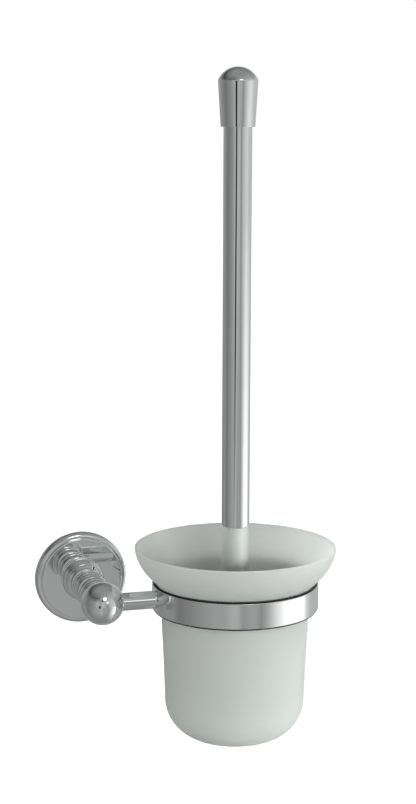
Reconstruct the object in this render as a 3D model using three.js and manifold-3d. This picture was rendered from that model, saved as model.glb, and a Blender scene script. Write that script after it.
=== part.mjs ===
// A wall-mounted toilet brush holder. A stepped rose hides a plate that is screwed to the wall. A turned post
// stands out from it and ends in a ball, a short arm runs sideways from the ball, and the arm carries a ring.
// A flared glass cup hangs in the ring, and the brush stands in the cup with its long handle upright.
//
// Millimetres, +Z up. The origin is the centre of the plate's back face, on the wall. The wall is the plane
// y = 0, the post runs along -Y, and the arm runs along +X.
import * as THREE from "three";
import { mergeVertices } from "three/addons/utils/BufferGeometryUtils.js";
import Module from "manifold-3d";

const wasm = await Module();
wasm.setup();

// ---- Driving dimensions ----

const GAP = 0.3; // clearance between pieces that touch

// Wall plate: a disc with a boss that reaches into the post
const PLATE_RADIUS = 21;
const PLATE_THICKNESS = 2.5;
const BOSS_RADIUS = 6;
const BOSS_LENGTH = 15;
const BOSS_CHAMFER = 1;
const WALL_SCREW_OFFSET = 14; // from the boss's axis to each slot's centre
const SLOT_LENGTH = 10;
const SLOT_WIDTH = 5.5;
const LOCK_GROOVE_OUT = 10.5; // the V groove for the grub screw, measured out from the wall
const LOCK_GROOVE_DEPTH = 1.2;

// Rose: the stepped disc over the plate
const ROSE_RADIUS = 29.25;
const ROSE_THICKNESS = 6.3;
const ROSE_EDGE_OUT = 1.3; // the straight outer edge, before its round
const ROSE_STEP_OUT = 4.6; // height of the outer shoulder
const ROSE_SHOULDER_RADIUS = 26.3; // where the round of the edge meets the shoulder
const ROSE_STEP_RADIUS = 25.9;
const ROSE_FACE_RADIUS = 24.6; // the flat mirror face
const ROSE_RECESS_DEPTH = 3.7;
const ROSE_RIM_WIDTH = 2.6; // what stands on the wall
const ROSE_RIM_DEPTH = 1.6;

// Post: a foot, a turned stem and a ball, held together by one bolt along the axis
const POST_OUT = 64.4; // from the wall to the ball's centre, and so to the cup's axis
const FOOT_RADIUS = 13.3;
const FOOT_FLANGE = 1.6; // heights on the foot are measured from its own start
const FOOT_WAIST_RADIUS = 10.4;
const FOOT_WAIST = 6.4;
const FOOT_BEAD_RADIUS = 11.1;
const FOOT_BEAD_LOW = 7;
const FOOT_BEAD_HIGH = 9.8;
const FOOT_NECK_RADIUS = 9.9;
const FOOT_NECK = 10.6;
const FOOT_END_OUT = 23;
const FOOT_WEB_THICKNESS = 1.6; // what the tie bolt's washer pulls on
const STEM_RADIUS = 9.3;
const STEM_BEAD_HEIGHT = 1.1;
const STEM_BEADS_OUT = [28.2, 33.4, 43.2, 48.4];
const STEM_BEAD_HALF_WIDTH = 1.9;
const BALL_RADIUS = 13.15;
const TIE_BOLT_RADIUS = 2.5;
const TIE_BOLT_HEAD_RADIUS = 4.3;
const TIE_BOLT_HEAD_LENGTH = 4;
const TIE_BOLT_HEAD_OUT = 15.9;
const TIE_BOLT_TIP_SHORT = 2.2; // from the bolt's end to the ball's centre
const TIE_BOLT_CHAMFER = 0.8;
const TIE_BOLT_KEY = 4; // across the flats
const TIE_BOLT_KEY_DEPTH = 2.5;
const WASHER_THICKNESS = 0.9;

// Arm and ring
const ARM_RADIUS = 5.5;
const ARM_SPIGOT_RADIUS = 4;
const ARM_SPIGOT_LENGTH = 6.4;
const RING_RADIUS = 51;
const RING_WALL = 2.2;
const RING_HEIGHT = 15.4;
const RING_CHAMFER = 0.5;
const LINER_LIP_RADIUS = 50.2; // the liner's lips fold out over and under the ring
const LINER_LIP_THICKNESS = 0.7;
const LINER_TOP_LIP_THICKNESS = 1.1;
const LINER_CLEARANCE = 0.6; // to the neck of the glass
const RING_SCREW_RADIUS = 2;
const RING_SCREW_LENGTH = 14;
const RING_SCREW_KEY = 2.5;
const RING_SCREW_KEY_DEPTH = 1.3;
const GRUB_RADIUS = 2;
const GRUB_TIP_RADIUS = 0.8;
const GRUB_KEY = 2;
const GRUB_KEY_DEPTH = 2.2;
const FOOT_GRUB_LENGTH = 4.8;
const ARM_GRUB_LENGTH = 4.6;

// Glass cup, with heights measured down from its rim
const CUP_AXIS_X = 83.1;
const RIM_Z = 29.8; // above the ring's middle
const RIM_RADIUS = 61.5;
const CUP_DEPTH = 119.7;
const CUP_WALL = 3.4;
const RIM_WALL = 1.8; // the flare thins out towards its rim
const NECK_RADIUS = 45.15;
const NECK_DEPTH = 30;
const FLARE_KNEE_RADIUS = 51; // where the two curves of the flare join
const FLARE_KNEE_DEPTH = 19.3;
const BODY_RADIUS = 44.8;
const BODY_DEPTH = 51;
const BODY_FOOT_RADIUS = 42.9;
const CORNER_RADIUS = 24;

// Brush
const TUBE_RADIUS = 8.5;
const TUBE_WALL = 0.9;
const TUBE_BOTTOM_Z = -5.7;
const CAP_BOTTOM_Z = 283;
const CAP_SHOULDER_Z = 310;
const CAP_TOP_Z = 317.9;
const CAP_BOTTOM_RADIUS = 10.25;
const CAP_SHOULDER_RADIUS = 11.85;
const CAP_SOCKET_DEPTH = 8;
const CAP_BORE_DEPTH = 20;
const STUD_RADIUS = 4;
const STUD_CHAMFER = 0.8;
const STUD_SHORT = 3; // from a stud's end to the far end of its bush
const BUSH_LENGTH = 20;
const CORE_RADIUS = 7.5;
const CORE_TOP_Z = -6;
const CORE_BOTTOM_Z = -74.3;
const CORE_BORE_DEPTH = 18;
const CORE_COLLAR_LENGTH = 4;
const CORE_COLLAR_TAPER = 2;
const CORE_NOSE = 3;
const BRISTLE_ROWS = 6;
const BRISTLE_PITCH = 9.8;
const BRISTLE_FIRST_Z = -20;
const BRISTLE_RADIUS = 35.5;
const BRISTLE_LAST_RADIUS = 33;
const BRISTLE_ROOT_HALF = 2; // half the height of a row at the core
const BRISTLE_TIP_HALF = 4;
const BRISTLE_CHAMFER = 1;
const END_TUFT_RADIUS = 22;
const END_TUFT_BOTTOM_Z = -85.7;
const END_TUFT_FALL = 5; // from the core down to the widest part
const END_TUFT_EDGE = 2;
const END_TUFT_UNDERCUT = 4;

// Facets round a full turn
const FINE = 48;
const MEDIUM = 28;
const SMALL = 16;
const SOFT = 24;

// ---- Materials ----

const steel = (color, roughness) => new THREE.MeshStandardMaterial({ color, roughness, metalness: 1 });
const plain = (color, roughness) => new THREE.MeshStandardMaterial({ color, roughness, metalness: 0 });

const chrome = () => steel(0xd9dcdf, 0.06);
const zincPlate = () => steel(0xa9acae, 0.4);
const blackSteel = () => steel(0x2b2b2d, 0.45);
const rubber = () => plain(0x1c1d1e, 0.8);
const moulding = () => plain(0xe9ebea, 0.5);
const bristle = () => plain(0xf1f3f2, 0.85);
const frostedGlass = () => {
  const material = plain(0xc9d2cd, 0.55);
  material.transparent = true;
  material.opacity = 0.85;
  return material;
};

// ---- Solids ----

/** A closed three.js geometry as a solid that can be joined and cut. */
function solidOf(geometry) {
  const bare = geometry.clone();
  bare.deleteAttribute("normal");
  bare.deleteAttribute("uv");
  const merged = mergeVertices(bare, 1e-4);
  const index = merged.index.array;
  const triangles = [];
  for (let i = 0; i < index.length; i += 3) {
    const corners = index.slice(i, i + 3);
    if (new Set(corners).size === 3) triangles.push(...corners);
  }
  return new wasm.Manifold(
    new wasm.Mesh({
      numProp: 3,
      vertProperties: merged.attributes.position.array,
      triVerts: new Uint32Array(triangles),
    }),
  );
}

/** A solid back as a three.js geometry. */
function geometryOf(solid) {
  const { vertProperties, triVerts } = solid.getMesh();
  const geometry = new THREE.BufferGeometry();
  geometry.setAttribute("position", new THREE.BufferAttribute(vertProperties, 3));
  geometry.setIndex(new THREE.BufferAttribute(triVerts, 1));
  geometry.computeVertexNormals();
  return geometry;
}

/** Spins an outline of (radius, height) points about +Y. It starts and ends on the axis, or is closed here. */
function spin(points, facets) {
  const outline = points.map((p) => p.clone());
  if (THREE.ShapeUtils.area(outline) < 0) outline.reverse();
  const onAxis = outline[0].x === 0 && outline.at(-1).x === 0;
  if (!onAxis) outline.push(outline[0].clone());
  return new THREE.LatheGeometry(outline, facets);
}

const points = (...pairs) => pairs.map(([radius, height]) => new THREE.Vector2(radius, height));

const upright = (geometry) => geometry.rotateX(Math.PI / 2); // height becomes +Z
const outwards = (geometry) => geometry.rotateX(Math.PI); // height becomes distance from the wall, along -Y
const sideways = (geometry) => geometry.rotateZ(-Math.PI / 2); // height becomes +X
const downwards = (geometry) => geometry.rotateX(-Math.PI / 2); // height becomes -Z

/** A round bar between two heights. */
function bar(radius, low, high, facets = SMALL) {
  return spin(points([0, low], [radius, low], [radius, high], [0, high]), facets);
}

/** A hexagonal key socket between two heights. */
function hexSocket(acrossFlats, low, high) {
  return bar(acrossFlats / Math.sqrt(3), low, high, 6);
}

/** A headless screw with a cone point at its low end and a key socket in the other. */
function grubScrew(low, high) {
  const shoulder = low + GRUB_RADIUS - GRUB_TIP_RADIUS;
  const outline = points(
    [0, low],
    [GRUB_TIP_RADIUS, low],
    [GRUB_RADIUS, shoulder],
    [GRUB_RADIUS, high],
    [0, high],
  );
  const body = solidOf(spin(outline, SMALL));
  return geometryOf(body.subtract(solidOf(hexSocket(GRUB_KEY, high - GRUB_KEY_DEPTH, high + 1))));
}

// ---- Wall side ----

function wallPlate() {
  const outline = points(
    [0, 0],
    [PLATE_RADIUS, 0],
    [PLATE_RADIUS, PLATE_THICKNESS],
    [BOSS_RADIUS, PLATE_THICKNESS],
    [BOSS_RADIUS, LOCK_GROOVE_OUT - LOCK_GROOVE_DEPTH],
    [BOSS_RADIUS - LOCK_GROOVE_DEPTH, LOCK_GROOVE_OUT],
    [BOSS_RADIUS, LOCK_GROOVE_OUT + LOCK_GROOVE_DEPTH],
    [BOSS_RADIUS, BOSS_LENGTH - BOSS_CHAMFER],
    [BOSS_RADIUS - BOSS_CHAMFER, BOSS_LENGTH],
    [0, BOSS_LENGTH],
  );
  let plate = solidOf(outwards(spin(outline, MEDIUM)));
  // One slot lies level and the other stands upright, so the plate can be trued up on its two screws.
  for (const [side, turn] of [[-1, 0], [1, Math.PI / 2]]) {
    const half = (SLOT_LENGTH - SLOT_WIDTH) / 2;
    const slot = new THREE.Shape();
    slot.absarc(half, 0, SLOT_WIDTH / 2, -Math.PI / 2, Math.PI / 2);
    slot.absarc(-half, 0, SLOT_WIDTH / 2, Math.PI / 2, (3 * Math.PI) / 2);
    const cutter = new THREE.ExtrudeGeometry(slot, {
      depth: PLATE_THICKNESS + 2,
      bevelEnabled: false,
      curveSegments: 8,
    });
    cutter.rotateZ(turn).rotateX(Math.PI / 2).translate(side * WALL_SCREW_OFFSET, 1, 0);
    plate = plate.subtract(solidOf(cutter));
  }
  return geometryOf(plate);
}

function rose() {
  const rimInside = ROSE_RADIUS - ROSE_RIM_WIDTH;
  const bore = BOSS_RADIUS + GAP;
  const stepTop = ROSE_STEP_RADIUS - 0.2;
  const path = new THREE.Path();
  path.moveTo(ROSE_RADIUS, 0);
  path.lineTo(ROSE_RADIUS, ROSE_EDGE_OUT);
  path.bezierCurveTo(ROSE_RADIUS, 3.4, 28, ROSE_STEP_OUT, ROSE_SHOULDER_RADIUS, ROSE_STEP_OUT);
  path.lineTo(ROSE_STEP_RADIUS, ROSE_STEP_OUT);
  path.lineTo(stepTop, ROSE_THICKNESS - 0.6);
  path.quadraticCurveTo(stepTop - 0.2, ROSE_THICKNESS, ROSE_FACE_RADIUS, ROSE_THICKNESS);
  path.lineTo(bore, ROSE_THICKNESS);
  path.lineTo(bore, ROSE_RECESS_DEPTH);
  path.lineTo(ROSE_FACE_RADIUS - 1, ROSE_RECESS_DEPTH);
  path.lineTo(rimInside, ROSE_RIM_DEPTH);
  path.lineTo(rimInside, 0);
  return outwards(spin(path.getPoints(4), FINE));
}

function postFoot() {
  const start = ROSE_THICKNESS + GAP;
  const waist = start + FOOT_WAIST;
  const beadLow = start + FOOT_BEAD_LOW;
  const beadHigh = start + FOOT_BEAD_HIGH;
  const beadCrest = FOOT_BEAD_RADIUS + 0.6;
  const web = FOOT_END_OUT - FOOT_WEB_THICKNESS;
  const boltBore = TIE_BOLT_RADIUS + GAP;
  const bossBore = BOSS_RADIUS + GAP;
  const path = new THREE.Path();
  path.moveTo(FOOT_RADIUS - 0.4, start);
  path.quadraticCurveTo(FOOT_RADIUS, start, FOOT_RADIUS, start + 0.5);
  path.lineTo(FOOT_RADIUS, start + FOOT_FLANGE);
  path.bezierCurveTo(FOOT_RADIUS - 0.3, start + 3.6, FOOT_WAIST_RADIUS, start + 3.4, FOOT_WAIST_RADIUS, waist);
  path.lineTo(FOOT_BEAD_RADIUS, beadLow);
  path.bezierCurveTo(beadCrest, beadLow + 0.6, beadCrest, beadHigh - 0.6, FOOT_BEAD_RADIUS, beadHigh);
  path.lineTo(FOOT_NECK_RADIUS, start + FOOT_NECK);
  path.lineTo(FOOT_NECK_RADIUS, FOOT_END_OUT);
  path.lineTo(boltBore, FOOT_END_OUT);
  path.lineTo(boltBore, web);
  path.lineTo(bossBore, web);
  path.lineTo(bossBore, start);
  const foot = solidOf(outwards(spin(path.getPoints(4), MEDIUM)));
  const lockHole = downwards(bar(GRUB_RADIUS + GAP, BOSS_RADIUS - 2, FOOT_RADIUS + 1));
  lockHole.translate(0, -LOCK_GROOVE_OUT, 0);
  return geometryOf(foot.subtract(solidOf(lockHole)));
}

function footGrubScrew() {
  const low = BOSS_RADIUS - LOCK_GROOVE_DEPTH + GRUB_TIP_RADIUS + 1.5 * GAP;
  return downwards(grubScrew(low, low + FOOT_GRUB_LENGTH)).translate(0, -LOCK_GROOVE_OUT, 0);
}

/** The height of the ball's flat, where its neck meets the stem. */
const BALL_FLAT_OUT = POST_OUT - Math.sqrt(BALL_RADIUS ** 2 - STEM_RADIUS ** 2);

function postStem() {
  const start = FOOT_END_OUT + GAP;
  const end = BALL_FLAT_OUT - GAP;
  const bore = TIE_BOLT_RADIUS + GAP;
  const path = new THREE.Path();
  path.moveTo(bore, start);
  path.lineTo(STEM_RADIUS, start);
  for (const out of STEM_BEADS_OUT) {
    path.lineTo(STEM_RADIUS, out - STEM_BEAD_HALF_WIDTH);
    const crest = STEM_RADIUS + (4 / 3) * STEM_BEAD_HEIGHT;
    path.bezierCurveTo(
      crest,
      out - STEM_BEAD_HALF_WIDTH,
      crest,
      out + STEM_BEAD_HALF_WIDTH,
      STEM_RADIUS,
      out + STEM_BEAD_HALF_WIDTH,
    );
  }
  path.lineTo(STEM_RADIUS, end);
  path.lineTo(bore, end);
  return outwards(spin(path.getPoints(4), MEDIUM));
}

function tieBolt() {
  const head = TIE_BOLT_HEAD_OUT + TIE_BOLT_HEAD_LENGTH;
  const tip = POST_OUT - TIE_BOLT_TIP_SHORT;
  const outline = points(
    [0, TIE_BOLT_HEAD_OUT],
    [TIE_BOLT_HEAD_RADIUS, TIE_BOLT_HEAD_OUT],
    [TIE_BOLT_HEAD_RADIUS, head],
    [TIE_BOLT_RADIUS, head],
    [TIE_BOLT_RADIUS, tip - TIE_BOLT_CHAMFER],
    [TIE_BOLT_RADIUS - TIE_BOLT_CHAMFER, tip],
    [0, tip],
  );
  const bolt = solidOf(spin(outline, SMALL));
  const keyBottom = TIE_BOLT_HEAD_OUT + TIE_BOLT_KEY_DEPTH;
  const socket = solidOf(hexSocket(TIE_BOLT_KEY, TIE_BOLT_HEAD_OUT - 1, keyBottom));
  return outwards(geometryOf(bolt.subtract(socket)));
}

function tieBoltWasher() {
  const low = TIE_BOLT_HEAD_OUT + TIE_BOLT_HEAD_LENGTH + GAP;
  const high = low + WASHER_THICKNESS;
  const inner = TIE_BOLT_RADIUS + GAP;
  const outer = TIE_BOLT_HEAD_RADIUS + 0.5;
  return outwards(spin(points([inner, low], [outer, low], [outer, high], [inner, high]), SMALL));
}

/** Where the arm's shoulder stands in the ball's counterbore. */
const ARM_SEAT_X = 11;

function ballEnd() {
  const path = new THREE.Path();
  const flatAngle = Math.asin(STEM_RADIUS / BALL_RADIUS);
  path.moveTo(0, BALL_FLAT_OUT);
  path.absarc(0, POST_OUT, BALL_RADIUS, -Math.PI / 2 + flatAngle, Math.PI / 2);
  const outline = path.getPoints(8);
  outline.at(-1).x = 0;
  let ball = solidOf(outwards(spin(outline, MEDIUM)));
  const boltBottom = POST_OUT - TIE_BOLT_TIP_SHORT + 0.8;
  const boltHole = outwards(bar(TIE_BOLT_RADIUS + GAP, BALL_FLAT_OUT - 1, boltBottom));
  const spigotBottom = ARM_SEAT_X - ARM_SPIGOT_LENGTH - 2 * GAP;
  const spigotHole = sideways(bar(ARM_SPIGOT_RADIUS + GAP, spigotBottom, BALL_RADIUS));
  const counterbore = sideways(bar(ARM_RADIUS + GAP, ARM_SEAT_X, BALL_RADIUS + 1));
  const lockHole = downwards(bar(GRUB_RADIUS + GAP, 2, BALL_RADIUS));
  spigotHole.translate(0, -POST_OUT, 0);
  counterbore.translate(0, -POST_OUT, 0);
  lockHole.translate(ARM_SEAT_X - ARM_SPIGOT_LENGTH / 2, -POST_OUT, 0);
  for (const cutter of [boltHole, spigotHole, counterbore, lockHole]) ball = ball.subtract(solidOf(cutter));
  return geometryOf(ball);
}

function armGrubScrew() {
  const low = ARM_SPIGOT_RADIUS + GAP;
  const screw = downwards(grubScrew(low, low + ARM_GRUB_LENGTH));
  return screw.translate(ARM_SEAT_X - ARM_SPIGOT_LENGTH / 2, -POST_OUT, 0);
}

function supportArm() {
  const shoulder = ARM_SEAT_X + GAP;
  const outline = points(
    [0, ARM_SEAT_X - ARM_SPIGOT_LENGTH],
    [ARM_SPIGOT_RADIUS, ARM_SEAT_X - ARM_SPIGOT_LENGTH],
    [ARM_SPIGOT_RADIUS, shoulder],
    [ARM_RADIUS, shoulder],
    [ARM_RADIUS, CUP_AXIS_X - RING_RADIUS + 2],
    [0, CUP_AXIS_X - RING_RADIUS + 2],
  );
  const ringStart = CUP_AXIS_X - RING_RADIUS;
  const arm = solidOf(sideways(spin(outline, MEDIUM)).translate(0, -POST_OUT, 0));
  const ringFace = upright(bar(RING_RADIUS + GAP, -RING_HEIGHT, RING_HEIGHT, FINE));
  ringFace.translate(CUP_AXIS_X, -POST_OUT, 0);
  const screwHole = sideways(bar(RING_SCREW_RADIUS + GAP, ringStart - RING_SCREW_LENGTH, ringStart + 3));
  screwHole.translate(0, -POST_OUT, 0);
  return geometryOf(arm.subtract(solidOf(ringFace)).subtract(solidOf(screwHole)));
}

// ---- Ring and liner, about the cup's axis with the ring's middle at z = 0 ----

function holderRing() {
  const half = RING_HEIGHT / 2;
  const inner = RING_RADIUS - RING_WALL;
  const outline = points(
    [inner, -half],
    [RING_RADIUS - RING_CHAMFER, -half],
    [RING_RADIUS, -half + RING_CHAMFER],
    [RING_RADIUS, half - RING_CHAMFER],
    [RING_RADIUS - RING_CHAMFER, half],
    [inner, half],
  );
  const ring = solidOf(upright(spin(outline, FINE)));
  const hole = sideways(bar(RING_SCREW_RADIUS + GAP, -RING_RADIUS - 1, -inner + 1));
  const sink = sideways(countersunkCone(RING_SCREW_RADIUS + GAP, -inner + GAP));
  return geometryOf(ring.subtract(solidOf(hole)).subtract(solidOf(sink)));
}

/** A 90 degree countersunk cone that opens towards the cup's axis, from the neck of a shank out to a face. */
function countersunkCone(shankRadius, face) {
  const neck = -RING_RADIUS + 0.4;
  return spin(points([0, neck], [shankRadius, neck], [shankRadius + face - neck, face], [0, face]), SMALL);
}

function ringScrew() {
  const face = -RING_RADIUS + RING_WALL - GAP;
  const head = solidOf(countersunkCone(RING_SCREW_RADIUS, face));
  const shank = solidOf(bar(RING_SCREW_RADIUS, -RING_RADIUS - RING_SCREW_LENGTH + 1, -RING_RADIUS + 1));
  const socket = solidOf(hexSocket(RING_SCREW_KEY, face - RING_SCREW_KEY_DEPTH, face + 1));
  return sideways(geometryOf(head.add(shank).subtract(socket)));
}

/** A soft channel that grips the ring from inside, with an inner face that follows the neck of the glass. */
function ringLiner() {
  const back = RING_RADIUS - RING_WALL - GAP;
  const edge = RING_HEIGHT / 2 + GAP;
  const low = -edge - LINER_LIP_THICKNESS;
  const bore = NECK_RADIUS + LINER_CLEARANCE;
  const outline = points(
    [bore, low],
    [LINER_LIP_RADIUS, low],
    [LINER_LIP_RADIUS, -edge],
    [back, -edge],
    [back, edge],
    [LINER_LIP_RADIUS, edge],
    [LINER_LIP_RADIUS, edge + LINER_TOP_LIP_THICKNESS],
    [bore + 3.35, edge - 0.2],
    [bore + 1.5, edge - 2.7],
    [bore + 0.3, edge - 5.4],
    [bore, edge - 7.5],
  );
  return upright(spin(outline, FINE));
}

// ---- Glass cup ----

// The glass is one blown piece, drawn as two solids that meet behind the ring: the bowl and its flare.

/** The outside of the bowl, from the middle of the bottom up to the neck. */
function bowlOutside() {
  const path = new THREE.Path();
  const bottom = RIM_Z - CUP_DEPTH;
  const flat = BODY_FOOT_RADIUS - CORNER_RADIUS;
  path.moveTo(0, bottom);
  path.lineTo(flat, bottom);
  path.absarc(flat, bottom + CORNER_RADIUS, CORNER_RADIUS, -Math.PI / 2, 0);
  path.lineTo(BODY_RADIUS, RIM_Z - BODY_DEPTH);
  path.lineTo(NECK_RADIUS, RIM_Z - NECK_DEPTH);
  return path.getPoints(4);
}

/** The outside of the flare, from the neck up to the rim. */
function flareOutside() {
  const path = new THREE.Path();
  const down = (depth) => RIM_Z - depth;
  const knee = down(FLARE_KNEE_DEPTH);
  path.moveTo(NECK_RADIUS, down(NECK_DEPTH) + GAP);
  path.bezierCurveTo(NECK_RADIUS, down(25.5), 47.8, down(22.4), FLARE_KNEE_RADIUS, knee);
  path.bezierCurveTo(55.2, down(15.4), 60.2, down(10), RIM_RADIUS, down(RIM_WALL / 2));
  return path.getPoints(4);
}

/** An outline moved towards the inside by a wall that runs evenly from one thickness to another. */
function offsetInwards(outline, startWall, endWall) {
  return outline.map((point, i) => {
    const before = outline[Math.max(i - 1, 0)];
    const after = outline[Math.min(i + 1, outline.length - 1)];
    const along = after.clone().sub(before).normalize();
    const wall = startWall + ((endWall - startWall) * i) / (outline.length - 1);
    const moved = new THREE.Vector2(point.x - along.y * wall, point.y + along.x * wall);
    if (point.x === 0) moved.x = 0;
    return moved;
  });
}

function glassBowl() {
  const outside = bowlOutside();
  const inside = offsetInwards(outside, CUP_WALL, CUP_WALL);
  inside.at(-1).y = outside.at(-1).y;
  return upright(spin([...outside, ...inside.reverse()], FINE));
}

function glassFlare() {
  const outside = flareOutside();
  const inside = offsetInwards(outside, CUP_WALL, RIM_WALL);
  inside[0].y = outside[0].y;
  const outerLip = outside.at(-1);
  const innerLip = inside.at(-1);
  const middle = outerLip.clone().add(innerLip).divideScalar(2);
  const lipAngle = Math.atan2(outerLip.y - middle.y, outerLip.x - middle.x);
  const lip = new THREE.Path().absarc(middle.x, middle.y, RIM_WALL / 2, lipAngle, lipAngle + Math.PI);
  const round = lip.getPoints(3).slice(1, -1);
  return upright(spin([...outside, ...round, ...inside.reverse()], FINE));
}

// ---- Brush ----

function handleTube() {
  const inner = TUBE_RADIUS - TUBE_WALL;
  const top = CAP_BOTTOM_Z + CAP_SOCKET_DEPTH - GAP;
  const outline = points([inner, TUBE_BOTTOM_Z], [TUBE_RADIUS, TUBE_BOTTOM_Z], [TUBE_RADIUS, top], [inner, top]);
  return upright(spin(outline, MEDIUM));
}

function handleCap() {
  const rise = CAP_TOP_Z - CAP_SHOULDER_Z;
  const domeRadius = (CAP_SHOULDER_RADIUS ** 2 + rise ** 2) / (2 * rise);
  const startAngle = Math.acos(CAP_SHOULDER_RADIUS / domeRadius);
  const studBore = STUD_RADIUS + GAP;
  const path = new THREE.Path();
  path.moveTo(0, CAP_BOTTOM_Z + CAP_BORE_DEPTH);
  path.lineTo(studBore, CAP_BOTTOM_Z + CAP_BORE_DEPTH);
  path.lineTo(studBore, CAP_BOTTOM_Z + CAP_SOCKET_DEPTH);
  path.lineTo(TUBE_RADIUS + GAP, CAP_BOTTOM_Z + CAP_SOCKET_DEPTH);
  path.lineTo(TUBE_RADIUS + GAP, CAP_BOTTOM_Z);
  path.lineTo(CAP_BOTTOM_RADIUS, CAP_BOTTOM_Z);
  path.lineTo(CAP_SHOULDER_RADIUS, CAP_SHOULDER_Z);
  path.absarc(0, CAP_TOP_Z - domeRadius, domeRadius, startAngle, Math.PI / 2);
  const outline = path.getPoints(5);
  outline.at(-1).x = 0;
  return upright(spin(outline, MEDIUM));
}

/** A threaded insert pressed into an end of the tube, from a height upwards. */
function bush(low) {
  const outer = TUBE_RADIUS - TUBE_WALL - GAP;
  const inner = STUD_RADIUS + GAP;
  const high = low + BUSH_LENGTH;
  return upright(spin(points([inner, low], [outer, low], [outer, high], [inner, high]), MEDIUM));
}

function stud(low, high) {
  const tip = STUD_RADIUS - STUD_CHAMFER;
  const outline = points(
    [0, low],
    [tip, low],
    [STUD_RADIUS, low + STUD_CHAMFER],
    [STUD_RADIUS, high - STUD_CHAMFER],
    [tip, high],
    [0, high],
  );
  return upright(spin(outline, SMALL));
}

/** The moulded stem of the brush head, with a collar on top and a round nose below. */
function brushCore() {
  const bore = STUD_RADIUS + GAP;
  const boreBottom = CORE_TOP_Z - CORE_BORE_DEPTH;
  const collar = CORE_TOP_Z - CORE_COLLAR_LENGTH;
  const path = new THREE.Path();
  path.moveTo(0, boreBottom);
  path.lineTo(bore, boreBottom);
  path.lineTo(bore, CORE_TOP_Z);
  path.lineTo(TUBE_RADIUS, CORE_TOP_Z);
  path.lineTo(TUBE_RADIUS, collar);
  path.lineTo(CORE_RADIUS, collar - CORE_COLLAR_TAPER);
  path.lineTo(CORE_RADIUS, CORE_BOTTOM_Z + CORE_NOSE);
  path.quadraticCurveTo(CORE_RADIUS, CORE_BOTTOM_Z, CORE_RADIUS - CORE_NOSE, CORE_BOTTOM_Z);
  path.lineTo(0, CORE_BOTTOM_Z);
  return upright(spin(path.getPoints(4), MEDIUM));
}

/** One ring of tufts, drawn as the plain outer shape that its bristles fill. */
function bristleRow(row) {
  const z = BRISTLE_FIRST_Z - row * BRISTLE_PITCH;
  const outer = row === BRISTLE_ROWS - 1 ? BRISTLE_LAST_RADIUS : BRISTLE_RADIUS;
  const root = CORE_RADIUS + GAP;
  const outline = points(
    [root, z - BRISTLE_ROOT_HALF],
    [outer - BRISTLE_CHAMFER, z - BRISTLE_TIP_HALF],
    [outer, z - BRISTLE_TIP_HALF + BRISTLE_CHAMFER],
    [outer, z + BRISTLE_TIP_HALF - BRISTLE_CHAMFER],
    [outer - BRISTLE_CHAMFER, z + BRISTLE_TIP_HALF],
    [root, z + BRISTLE_ROOT_HALF],
  );
  return upright(spin(outline, SOFT));
}

/** The tuft that sweeps the bottom, splayed out under the core. */
function endTuft() {
  const top = CORE_BOTTOM_Z - GAP;
  const outline = points(
    [0, top],
    [CORE_RADIUS - 2, top],
    [END_TUFT_RADIUS, top - END_TUFT_FALL],
    [END_TUFT_RADIUS, top - END_TUFT_FALL - END_TUFT_EDGE],
    [END_TUFT_RADIUS - END_TUFT_UNDERCUT, END_TUFT_BOTTOM_Z],
    [0, END_TUFT_BOTTOM_Z],
  );
  return upright(spin(outline, SOFT));
}

// ---- Assembly ----

const holder = new THREE.Group();

function addPiece(parent, name, geometry, material) {
  const mesh = new THREE.Mesh(geometry, material);
  mesh.name = name;
  parent.add(mesh);
}

const wallSide = new THREE.Group();
holder.add(wallSide);
addPiece(wallSide, "wall_plate", wallPlate(), zincPlate());
addPiece(wallSide, "rose", rose(), chrome());
addPiece(wallSide, "post_foot", postFoot(), chrome());
addPiece(wallSide, "foot_grub_screw", footGrubScrew(), blackSteel());
addPiece(wallSide, "post_stem", postStem(), chrome());
addPiece(wallSide, "tie_bolt", tieBolt(), zincPlate());
addPiece(wallSide, "tie_bolt_washer", tieBoltWasher(), zincPlate());
addPiece(wallSide, "ball_end", ballEnd(), chrome());
addPiece(wallSide, "arm_grub_screw", armGrubScrew(), blackSteel());
addPiece(wallSide, "support_arm", supportArm(), chrome());

const cupAxis = new THREE.Group();
cupAxis.position.set(CUP_AXIS_X, -POST_OUT, 0);
holder.add(cupAxis);
addPiece(cupAxis, "holder_ring", holderRing(), chrome());
addPiece(cupAxis, "ring_screw", ringScrew(), zincPlate());
addPiece(cupAxis, "ring_liner", ringLiner(), rubber());
addPiece(cupAxis, "glass_bowl", glassBowl(), frostedGlass());
addPiece(cupAxis, "glass_flare", glassFlare(), frostedGlass());

const brush = new THREE.Group();
cupAxis.add(brush);
const upperBushZ = CAP_BOTTOM_Z + CAP_SOCKET_DEPTH - BUSH_LENGTH - GAP;
const capStud = stud(upperBushZ + STUD_SHORT, CAP_BOTTOM_Z + CAP_BORE_DEPTH - 1);
const headStud = stud(CORE_TOP_Z - CORE_BORE_DEPTH + 1, TUBE_BOTTOM_Z + BUSH_LENGTH - STUD_SHORT);
addPiece(brush, "handle_tube", handleTube(), chrome());
addPiece(brush, "handle_cap", handleCap(), chrome());
addPiece(brush, "cap_stud", capStud, zincPlate());
addPiece(brush, "upper_bush", bush(upperBushZ), moulding());
addPiece(brush, "lower_bush", bush(TUBE_BOTTOM_Z), moulding());
addPiece(brush, "head_stud", headStud, zincPlate());
addPiece(brush, "brush_core", brushCore(), moulding());
for (let row = 0; row < BRISTLE_ROWS; row++) {
  addPiece(brush, `bristle_row_${row + 1}`, bristleRow(row), bristle());
}
addPiece(brush, "end_tuft", endTuft(), bristle());

export default holder;
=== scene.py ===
"""The looks of a wall-mounted toilet brush holder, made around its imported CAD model.

Lengths that name a shape are in millimetres and are scaled to metres where a mesh is made. Places come from the
frame: the post's axis runs out from the wall along -Y through the origin, and the cup's axis is upright.
"""

import math
import random

import bpy
from mathutils import Matrix, Vector


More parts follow.
